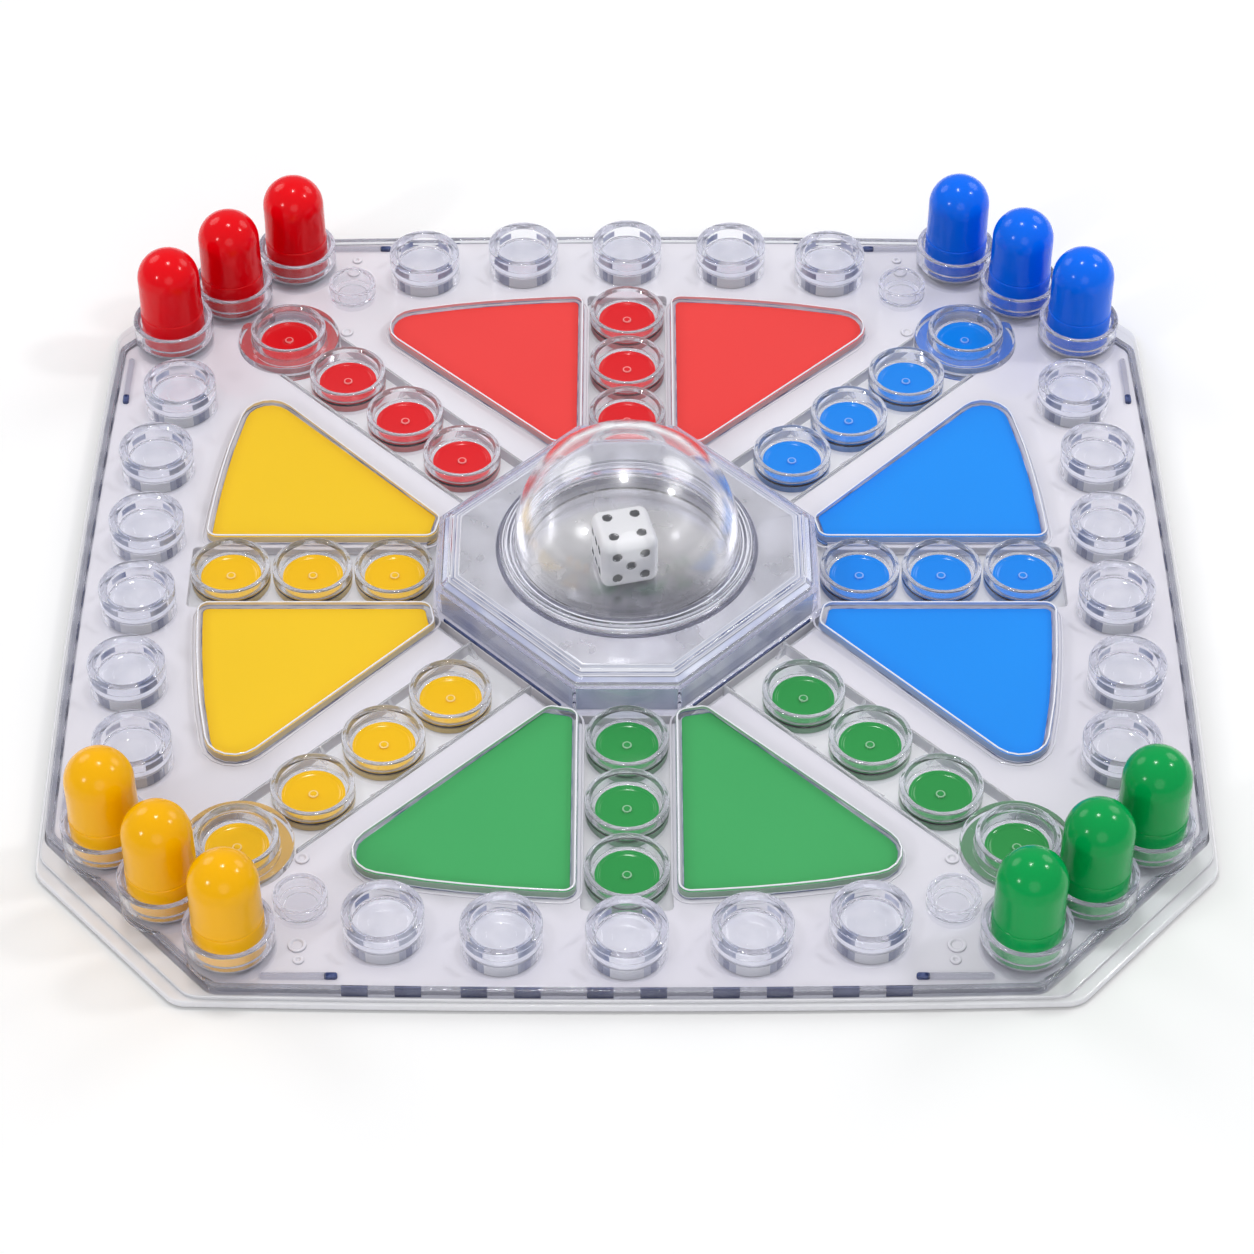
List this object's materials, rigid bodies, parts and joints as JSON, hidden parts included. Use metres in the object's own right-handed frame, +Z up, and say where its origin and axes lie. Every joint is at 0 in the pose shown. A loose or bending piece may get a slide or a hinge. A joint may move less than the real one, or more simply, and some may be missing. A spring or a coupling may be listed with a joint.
{
  "type": "pop up dice board game",
  "caption": "Clear plastic peg board with coloured lanes, open peg sockets all round, stored pegs at its corners and a sprung dome over a die that is pressed to roll it.",
  "frame": {"origin": "under the middle of the board, on the surface it stands on", "axes": "+Z up, -Y the near side; the red side is at +Y, blue at +X, green at -Y and yellow at -X"},
  "size_m": [0.294, 0.288, 0.0501],
  "materials": {
    "clear_tray": "clear",
    "clear_deck": "clear",
    "clear_frame": "clear",
    "clear_track": "clear",
    "clear_cups": "clear",
    "clear_trim": "clear",
    "clear_windows": "clear",
    "clear_housing": "clear",
    "silver_foil": "satin foil",
    "clear_dome": "clear",
    "silver_floor": "polished",
    "spring_steel": "satin",
    "die_white": "gloss",
    "pip_black": "gloss",
    "panel_red": "printed card",
    "panel_blue": "printed card",
    "panel_green": "printed card",
    "panel_yellow": "printed card",
    "disc_red": "gloss",
    "disc_blue": "gloss",
    "disc_green": "gloss",
    "disc_yellow": "gloss",
    "peg_red": "gloss",
    "peg_blue": "gloss",
    "peg_green": "gloss",
    "peg_yellow": "gloss"
  },
  "bodies": {
    "board": {"base_tray": "clear_tray", "deck": "clear_deck", "edge_frame": "clear_frame", "track_sockets": "clear_track", "corner_sockets": "clear_track", "lane_sockets": "clear_cups", "diagonal_sockets": "clear_cups", "start_sockets": "clear_cups", "start_collars": "clear_trim", "marker_cups": "clear_track", "channel_rails": "clear_trim", "window_lenses": "clear_windows", "popper_housing": "clear_housing", "foil_plate": "silver_foil", "click_spring": "spring_steel", "panel_red_left": "panel_red", "panel_red_right": "panel_red", "panel_blue_back": "panel_blue", "panel_blue_front": "panel_blue", "panel_green_right": "panel_green", "panel_green_left": "panel_green", "panel_yellow_front": "panel_yellow", "panel_yellow_back": "panel_yellow", "lane_discs_red": "disc_red", "lane_discs_blue": "disc_blue", "lane_discs_green": "disc_green", "lane_discs_yellow": "disc_yellow", "diagonal_discs_red": "disc_red", "diagonal_discs_blue": "disc_blue", "diagonal_discs_green": "disc_green", "diagonal_discs_yellow": "disc_yellow", "start_discs_red": "disc_red", "start_discs_blue": "disc_blue", "start_discs_green": "disc_green", "start_discs_yellow": "disc_yellow"},
    "popper": {"dome": "clear_dome", "die_floor": "silver_floor"},
    "die": {"die": "die_white", "die_pips": "pip_black"},
    "peg_red_1": {"peg_red_1": "peg_red"},
    "peg_red_2": {"peg_red_2": "peg_red"},
    "peg_red_3": {"peg_red_3": "peg_red"},
    "peg_blue_1": {"peg_blue_1": "peg_blue"},
    "peg_blue_2": {"peg_blue_2": "peg_blue"},
    "peg_blue_3": {"peg_blue_3": "peg_blue"},
    "peg_green_1": {"peg_green_1": "peg_green"},
    "peg_green_2": {"peg_green_2": "peg_green"},
    "peg_green_3": {"peg_green_3": "peg_green"},
    "peg_yellow_1": {"peg_yellow_1": "peg_yellow"},
    "peg_yellow_2": {"peg_yellow_2": "peg_yellow"},
    "peg_yellow_3": {"peg_yellow_3": "peg_yellow"}
  },
  "joints": [
    {"name": "popper_press", "type": "slide", "parent": "board", "child": "popper", "axis": [0, 0, -1], "range_m": [0, 0.003], "stiffness_N_per_m": 3000, "springref_m": -0.0015, "deforming": ["click_spring"]},
    {"name": "die_hop", "type": "slide", "parent": "popper", "child": "die", "axis": [0, 0, 1], "range_m": [0, 0.014]},
    {"name": "peg_red_1_lift", "type": "slide", "parent": "board", "child": "peg_red_1", "axis": [0, 0, 1], "range_m": [0, 0.04]},
    {"name": "peg_red_2_lift", "type": "slide", "parent": "board", "child": "peg_red_2", "axis": [0, 0, 1], "range_m": [0, 0.04]},
    {"name": "peg_red_3_lift", "type": "slide", "parent": "board", "child": "peg_red_3", "axis": [0, 0, 1], "range_m": [0, 0.04]},
    {"name": "peg_blue_1_lift", "type": "slide", "parent": "board", "child": "peg_blue_1", "axis": [0, 0, 1], "range_m": [0, 0.04]},
    {"name": "peg_blue_2_lift", "type": "slide", "parent": "board", "child": "peg_blue_2", "axis": [0, 0, 1], "range_m": [0, 0.04]},
    {"name": "peg_blue_3_lift", "type": "slide", "parent": "board", "child": "peg_blue_3", "axis": [0, 0, 1], "range_m": [0, 0.04]},
    {"name": "peg_green_1_lift", "type": "slide", "parent": "board", "child": "peg_green_1", "axis": [0, 0, 1], "range_m": [0, 0.04]},
    {"name": "peg_green_2_lift", "type": "slide", "parent": "board", "child": "peg_green_2", "axis": [0, 0, 1], "range_m": [0, 0.04]},
    {"name": "peg_green_3_lift", "type": "slide", "parent": "board", "child": "peg_green_3", "axis": [0, 0, 1], "range_m": [0, 0.04]},
    {"name": "peg_yellow_1_lift", "type": "slide", "parent": "board", "child": "peg_yellow_1", "axis": [0, 0, 1], "range_m": [0, 0.04]},
    {"name": "peg_yellow_2_lift", "type": "slide", "parent": "board", "child": "peg_yellow_2", "axis": [0, 0, 1], "range_m": [0, 0.04]},
    {"name": "peg_yellow_3_lift", "type": "slide", "parent": "board", "child": "peg_yellow_3", "axis": [0, 0, 1], "range_m": [0, 0.04]}
  ]
}
